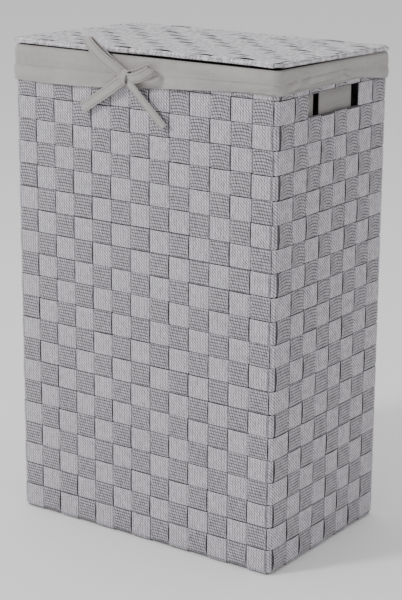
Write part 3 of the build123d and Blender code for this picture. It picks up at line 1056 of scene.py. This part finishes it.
class HAMPER_OT_cuff(bpy.types.Operator):
    """The liner's mouth folded out over the rim, with a casing seam, soft creases and a wavy hem"""

    bl_idname = "hamper.cuff"
    bl_label = "Cuff"

    def execute(self, context):
        radius = (CUFF_HIGH.y - RIM.y) - sizes().cloth_thickness / 2
        slot_half = half_strap() + 0.9 * MM
        slots = [("x", COLUMN_X[k] + side * slot_half) for k in HINGE_COLUMNS for side in (-1, 1)]
        plan = outline(0, CUFF_BEND, slots)
        inside = -radius - 0.2 * MM
        rows = []
        for part in (1.0, 0.5):
            rows.append([pushed(*station, inside, RIM.z - CUFF_TAIL * part) for station in plan])
        for step in range(9):
            angle = math.pi * (1 - step / 8)
            rows.append([self.fold(*station, radius, angle) for station in plan])
        for drop in CUFF_DROPS:
            rows.append([self.outer(*station, radius, drop) for station in plan])
        floor = ROW_SPANS[-1][1] - 1 * MM

        def kept(middle):
            in_slot = any(abs(middle.x - COLUMN_X[k]) < slot_half for k in HINGE_COLUMNS)
            return not (in_slot and middle.y > 0 and middle.z > floor)

        material = finish("cuff_plain_weave", cloth_finish, colours().cloth)
        piece = skin("liner_cuff_cloth", rows, material, kept)
        thicken(piece)
        finished(piece, BODY, "liner_cloth", "liner_cuff")
        return {"FINISHED"}

    @staticmethod
    def fold(point, normal, radius, angle):
        """A point of the roll over the rim, which stands higher towards the front under the lid."""
        height = (radius + CUFF_LIFT * forward(point[1])) * math.sin(angle)
        return pushed(point, normal, radius * math.cos(angle), RIM.z + height)

    @staticmethod
    def outer(point, normal, radius, drop):
        """A point of the part that hangs outside; drop is its share of the way from the rim to the hem."""
        x, y, _ = pushed(point, normal, radius, 0)
        z = RIM.z + (hem_height(x, y) - RIM.z) * drop
        seam = (2.3 if normal[1] < -0.5 else 1.1) * bell(drop, SEAM_SHARE, 0.03)
        casing = max(0.0, math.sin(math.pi * min(max((drop - SEAM_SHARE) / (1 - SEAM_SHARE), 0), 1)))
        long_fold = ripple(x, y, z * 6, 0.055, 1.0)
        crease = ripple(x + z, y - z, z * 2.5, 0.017, 7.0)
        pucker = ripple(x, y, 0, 0.011, 5.0) * bell(drop, SEAM_SHARE, 0.12)
        slack = 0.0
        if x > 0:
            along = (y + RIM.y) if x > RIM.x else (x - RIM.x) * 0.6
            tension = (z - 0.599) - 0.33 * along
            slack = sum(bell(tension, *fold) for fold in SLACK_FOLDS) * bell(along, 0.03, 0.05)
            if x > RIM.x:
                pleat = (y - 0.006 - (0.622 - z) * 1.15) / 0.0035
                slack += 1.3 * pleat * math.exp(-pleat * pleat)
        relief = 0.9 * casing - seam + (3.4 * long_fold + 1.6 * crease) * drop + 0.9 * pucker
        relief += 3.4 * slack + 0.8 * smooth((drop - 0.9) / 0.1)
        return pushed(point, normal, radius + MM * max(relief, -1.3), z)


SLITS = ((-0.0357, -0.0277), (0.0475, 0.07))
SLIT_LOW, SLIT_HIGH = 0.553, 0.603
BAG_BEND = 13 * MM
BAG_FLOOR = ((0.985, 5), (0.96, 9), (0.92, 11.4), (0.8, 12), (0.6, 12), (0.4, 12), (0.2, 12), (0.02, 12))


class HAMPER_OT_liner(bpy.types.Operator):
    """The cloth bag: soft upright folds, a rounded floor, and slits with a loose panel at the hand holes"""

    bl_idname = "hamper.liner"
    bl_label = "Liner Bag"

    def execute(self, context):
        inset = (CUFF_HIGH.y - RIM.y) + 0.6 * MM
        plan = outline(-inset, BAG_BEND, [("y", edge) for slit in SLITS for edge in slit])
        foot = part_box("liner_bag")[0].z + 2.2 * MM
        top = RIM.z - 11 * MM
        heights = [top, top - 3 * MM, SLIT_HIGH, SLIT_HIGH - 9 * MM]
        heights += [SLIT_HIGH - (SLIT_HIGH - SLIT_LOW) * t for t in (0.35, 0.55, 0.78, 1.0)]
        heights += [SLIT_LOW - (SLIT_LOW - foot - 12 * MM) * t / 15 for t in range(1, 16)]
        rows = [[self.wall_point(*station, z) for station in plan] for z in heights]
        bottom = rows[-1]
        for share, drop in BAG_FLOOR:
            rows.append([self.floor_point(x * share, y * share, z - drop * MM) for x, y, z in bottom])

        def kept(middle):
            in_slit = any(low < middle.y < high for low, high in SLITS)
            return not (in_slit and abs(middle.x) > RIM.x - 20 * MM and SLIT_LOW < middle.z < SLIT_HIGH)

        # The bag's darker colour is painted shade of the hamper's inside.
        material = finish("bag_plain_weave", cloth_finish, colours().bag)
        piece = skin("liner_bag_cloth", rows, material, kept)
        thicken(piece)
        finished(piece, BODY, "liner_cloth", "liner_bag")
        return {"FINISHED"}

    @staticmethod
    def floor_point(x, y, z):
        """A point of the bag's floor, which lies in low waves."""
        return (x, y, z + 0.8 * MM * max(0, ripple(x, y, 0, 0.05, 9.0)))

    @staticmethod
    def wall_point(point, normal, z):
        """A point of the bag's wall; the panel between the slits hangs closer to the hand hole."""
        x, y = point
        tall = smooth((RIM.z - 25 * MM - z) / 0.08)
        fold = 1.6 * ripple(x, y, z * 0.12, 0.034, 2.0) + 1.1 * ripple(x, y, z * 0.5, 0.08, 4.0)
        inward = tall * (1.2 + fold)
        near = smooth((z - SLIT_LOW + 0.03) / 0.03) * (1 - smooth((z - SLIT_HIGH) / 0.012))
        if abs(normal[0]) > 0.9:
            if SLITS[0][1] - 1e-6 <= y <= SLITS[1][0] + 1e-6:
                inward = inward * (1 - near) - 1.4 * near
            elif SLITS[0][0] - 0.02 < y < SLITS[1][1] + 0.02:
                inward = inward * (1 - near) + 1.8 * near
        return pushed(point, normal, -max(inward, -1.4) * MM, z)


# Drawstring and bow


TAPE_STEP = 2.0 * MM


def spline(points, closed=False):
    """Smooth stations through given points of (x, y, z) and a width direction, in millimetres."""
    places = [Vector(p) * MM for p, _ in points]
    widths = [Vector(w).normalized() for _, w in points]
    count = len(points)
    spans = count if closed else count - 1

    def pick(values, n):
        if closed:
            return values[n % count]
        if n < 0:
            return values[0] * 2 - values[1]
        if n >= count:
            return values[-1] * 2 - values[-2]
        return values[n]

    made = []
    for n in range(spans):
        a, b, c, d = (pick(places, n + k) for k in (-1, 0, 1, 2))
        parts = max(2, round((c - b).length / TAPE_STEP))
        first, second = widths[n], widths[(n + 1) % count]
        for k in range(parts if closed or n < spans - 1 else parts + 1):
            t = k / parts
            place = 0.5 * (
                2 * b + (c - a) * t + (2 * a - 5 * b + 4 * c - d) * t * t + (3 * b - a - 3 * c + d) * t ** 3
            )
            made.append((place, first.lerp(second, smooth(t))))
    stations = []
    total = len(made)
    for n, (place, width) in enumerate(made):
        ahead = made[(n + 1) % total][0] if closed or n < total - 1 else place * 2 - made[n - 1][0]
        behind = made[n - 1][0] if closed or n else place * 2 - made[1][0]
        tangent = (ahead - behind).normalized()
        side = (width - tangent * width.dot(tangent)).normalized()
        stations.append((place, side.cross(tangent).normalized(), side))
    return stations


def tape_piece(name, points, closed=False, width=None, skew=(0, 0)):
    """A length of the drawstring tape through the given points."""
    stations = spline(points, closed)
    width = width or sizes().tape_width
    material = finish("stitched_tape", tape_finish, colours().tape)
    piece = sweep(name, stations, width, sizes().tape_thickness, material, closed, skew=skew)
    finished(piece, BODY, "drawstring_tape")
    line = [s[0] for s in stations] + ([stations[0][0]] if closed else [])
    run = sum((b - a).length for a, b in zip(line, line[1:]))
    return piece


KNOT = (-15.5, -137.0, 603.5)
LEFT_LOOP = (
    ((-15, -136.5, 604), (0.45, 0.1, 0.89)),
    ((-26, -139.5, 612), (0.50, 0.1, 0.86)),
    ((-42, -142.5, 623), (0.62, 0.05, 0.78)),
    ((-58, -142.5, 634), (0.80, 0.0, 0.60)),
    ((-70, -140.0, 643), (0.95, 0.0, 0.30)),
    ((-72.5, -137.2, 645.5), (0.98, 0.0, 0.2)),
    ((-70, -134.9, 642.5), (0.95, 0.0, 0.30)),
    ((-56, -134.2, 632), (0.80, 0.0, 0.60)),
    ((-38, -134.3, 619), (0.62, 0.0, 0.78)),
    ((-16, -134.8, 605), (0.5, 0.0, 0.86)),
)
RIGHT_LOOP = (
    ((-14, -136.5, 602), (-0.3, -0.2, 0.93)),
    ((-4, -141.0, 602.5), (-0.35, -0.3, 0.88)),
    ((9, -145.5, 605.0), (-0.45, -0.35, 0.81)),
    ((20, -146.5, 609.5), (-0.6, -0.38, 0.70)),
    ((27, -144.0, 614.0), (-0.7, -0.36, 0.6)),
    ((28.5, -141.0, 616.5), (-0.72, -0.34, 0.58)),
    ((24, -138.6, 616.5), (-0.68, -0.3, 0.66)),
    ((12, -136.0, 611.5), (-0.5, -0.2, 0.84)),
    ((-2, -134.6, 606.5), (-0.35, -0.1, 0.93)),
    ((-14, -134.8, 604.0), (-0.3, 0.0, 0.95)),
)
LEFT_TAIL = (
    ((-13, -136.5, 603), (-0.5, -0.1, 0.86)),
    ((-24, -137.5, 595.5), (-0.52, -0.15, 0.84)),
    ((-42, -136.5, 583.5), (-0.55, -0.05, 0.83)),
    ((-61, -135.0, 572.0), (-0.5, 0.1, 0.86)),
    ((-84.5, -133.2, 557.5), (-0.48, 0.1, 0.87)),
)
RIGHT_TAIL = (
    ((-18, -136.2, 607), (0.80, -0.1, 0.59)),
    ((-8, -138.6, 597), (0.78, -0.25, 0.55)),
    ((4, -138.0, 585.0), (0.76, -0.3, 0.55)),
    ((21, -136.0, 567.5), (0.74, -0.2, 0.6)),
    ((42, -134.0, 546.5), (0.74, -0.15, 0.62)),
)


def knot_ring(radius_z, radius_y, lean, shift):
    """Stations round the knot's wrap: an upright oval, with the tape's width lying across it."""
    points = []
    for n in range(8):
        angle = FULL_TURN * n / 8
        x = KNOT[0] + shift + lean * math.sin(angle)
        place = (x, KNOT[1] - radius_y * math.cos(angle), KNOT[2] + radius_z * math.sin(angle))
        points.append((place, (1, 0, -lean / radius_z)))
    return tuple(points)


class HAMPER_OT_drawstring(bpy.types.Operator):
    """The tape that runs round inside the cuff's casing"""

    bl_idname = "hamper.drawstring"
    bl_label = "Drawstring"

    def execute(self, context):
        low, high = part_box("drawstring_tape")
        z = (low.z + high.z) / 2
        out = high.y - RIM.y - 0.3 * MM
        up = Vector((0, 0, 1))
        stations = [(Vector((*p, z)), Vector((*n, 0)), up) for p, n in outline(out, CUFF_BEND)]
        material = finish("stitched_tape", tape_finish, colours().tape)
        width, thickness = high.z - low.z, 0.7 * MM
        piece = sweep("drawstring_in_casing", stations, width, thickness, material, closed=True)
        finished(piece, BODY, "drawstring_tape", "drawstring_tape")
        return {"FINISHED"}


class HAMPER_OT_bow(bpy.types.Operator):
    """The tied ends of the tape: knot, two loops, two tails and the buttonhole they leave by"""

    bl_idname = "hamper.bow"
    bl_label = "Bow"

    def execute(self, context):
        tape_piece("bow_left_loop", LEFT_LOOP)
        tape_piece("bow_right_loop", RIGHT_LOOP)
        tape_piece("bow_left_tail", LEFT_TAIL, skew=(0, -0.15))
        tape_piece("bow_right_tail", RIGHT_TAIL, width=12.5 * MM, skew=(0, 0.2))
        wrap = tape_piece("bow_knot", knot_ring(8.2, 5.4, 2.2, 1.0), closed=True, width=10 * MM)
        tape_piece("bow_knot_core", knot_ring(5.2, 3.2, -1.0, 0.0), closed=True, width=15 * MM)
        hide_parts("drawstring_bow")
        self.buttonhole()
        return {"FINISHED"}

    @staticmethod
    def buttonhole():
        """A worked oval of thread on the cuff, where the tape comes out."""
        middle = Vector((-30.0, -132.3, 602.5)) * MM
        half_long, half_tall, depth, stitches = 4.2 * MM, 1.9 * MM, 0.7 * MM, 28
        rows = []
        for step in range(9):
            angle = FULL_TURN * step / 8
            row = []
            for n in range(stitches):
                around = FULL_TURN * n / stitches
                out = 0.42 * math.cos(angle) * (1 + 0.12 * (n % 2))
                x = middle.x + half_long * math.cos(around) * (1 + out * 0.5)
                z = middle.z + half_tall * math.sin(around) * (1 + out)
                row.append((x, middle.y - depth * math.sin(angle), z))
            rows.append(row)
        material = finish("stitched_tape", tape_finish, colours().tape)
        piece = skin("buttonhole_stitching", rows, material)
        piece.data.uv_layers.new(name=UV_NAME)
        finished(piece, BODY, "liner_cloth")


# Stage


def area_light(name, place, aim, size, power, tint=(1, 1, 1)):
    """A soft square light at place that faces aim."""
    data = bpy.data.lights.new(name, "AREA")
    data.shape = "SQUARE"
    data.size = size
    data.energy = power
    data.color = tint
    lamp = bpy.data.objects.new(name, data)
    lamp.location = place
    lamp.rotation_euler = (Vector(aim) - Vector(place)).to_track_quat("-Z", "Y").to_euler()
    bpy.context.scene.collection.objects.link(lamp)


class HAMPER_OT_stage(bpy.types.Operator):
    """Pale floor, soft studio light and the camera"""

    bl_idname = "hamper.stage"
    bl_label = "Stage"

    def execute(self, context):
        self.floor()
        self.light()
        self.camera()
        return {"FINISHED"}

    @staticmethod
    def floor():
        half = 12.0
        corners = [(half * x, half * y, 0) for x, y in ((-1, -1), (1, -1), (1, 1), (-1, 1))]
        material = finish("studio_floor", floor_finish, colours().floor)
        piece = new_object("studio_floor", corners, [(0, 1, 2, 3)], material)
        piece.location.z = -0.2 * MM

    @staticmethod
    def light():
        world = bpy.data.worlds.new("studio")
        world.use_nodes = True
        background = world.node_tree.nodes["Background"]
        background.inputs["Color"].default_value = (1, 1, 1, 1)
        background.inputs["Strength"].default_value = 0.8
        bpy.context.scene.world = world
        aim = (0, 0, 0.35)
        area_light("key", (-1.5, -2.6, 2.6), aim, 0.55, 74)
        area_light("top", (-0.2, 0.3, 2.9), aim, 1.4, 12)
        area_light("side", (3.0, -0.4, 1.3), aim, 1.2, 2, (1, 0.97, 0.93))

    @staticmethod
    def camera():
        yaw, pitch, roll = math.radians(-35.33), math.radians(15.74), math.radians(0.35)
        flat = math.cos(pitch)
        aim = Vector((math.sin(yaw) * flat, math.cos(yaw) * flat, -math.sin(pitch)))
        level = Vector((math.cos(yaw), -math.sin(yaw), 0))
        above = level.cross(aim)
        right = level * math.cos(roll) + above * math.sin(roll)
        up = above * math.cos(roll) - level * math.sin(roll)
        data = bpy.data.cameras.new("camera")
        data.sensor_width = 36
        data.lens = 105.17
        camera = bpy.data.objects.new("camera", data)
        turn_to = Matrix((right, up, -aim)).transposed().to_4x4()
        camera.matrix_world = Matrix.Translation((1.2839, -1.8070, 0.9190)) @ turn_to
        bpy.context.scene.collection.objects.link(camera)
        bpy.context.scene.camera = camera


class HAMPER_PT_panel(bpy.types.Panel):
    """Lists the hamper's pieces in the sidebar"""

    bl_idname = "HAMPER_PT_panel"
    bl_label = "Woven Hamper"
    bl_space_type = "VIEW_3D"
    bl_region_type = "UI"
    bl_category = "Hamper"

    def draw(self, context):
        for operator in OPERATORS:
            self.layout.operator(operator.bl_idname)
        for group in (context.scene.hamper_sizes, context.scene.hamper_colours):
            box = self.layout.box()
            for name in group.__annotations__:
                box.prop(group, name)


OPERATORS = (
    HAMPER_OT_front_back_straps,
    HAMPER_OT_side_straps,
    HAMPER_OT_hoops,
    HAMPER_OT_lid,
    HAMPER_OT_wires,
    HAMPER_OT_cuff,
    HAMPER_OT_liner,
    HAMPER_OT_drawstring,
    HAMPER_OT_bow,
    HAMPER_OT_stage,
)
CLASSES = (HamperSizes, HamperColours, *OPERATORS, HAMPER_PT_panel)


def register():
    for item in CLASSES:
        bpy.utils.register_class(item)
    bpy.types.Scene.hamper_sizes = PointerProperty(type=HamperSizes)
    bpy.types.Scene.hamper_colours = PointerProperty(type=HamperColours)


def unregister():
    del bpy.types.Scene.hamper_colours
    del bpy.types.Scene.hamper_sizes
    for item in reversed(CLASSES):
        bpy.utils.unregister_class(item)


def main():
    register()
    for operator in OPERATORS:
        group, name = operator.bl_idname.split(".")
        getattr(getattr(bpy.ops, group), name)()


if __name__ == "__main__":
    main()
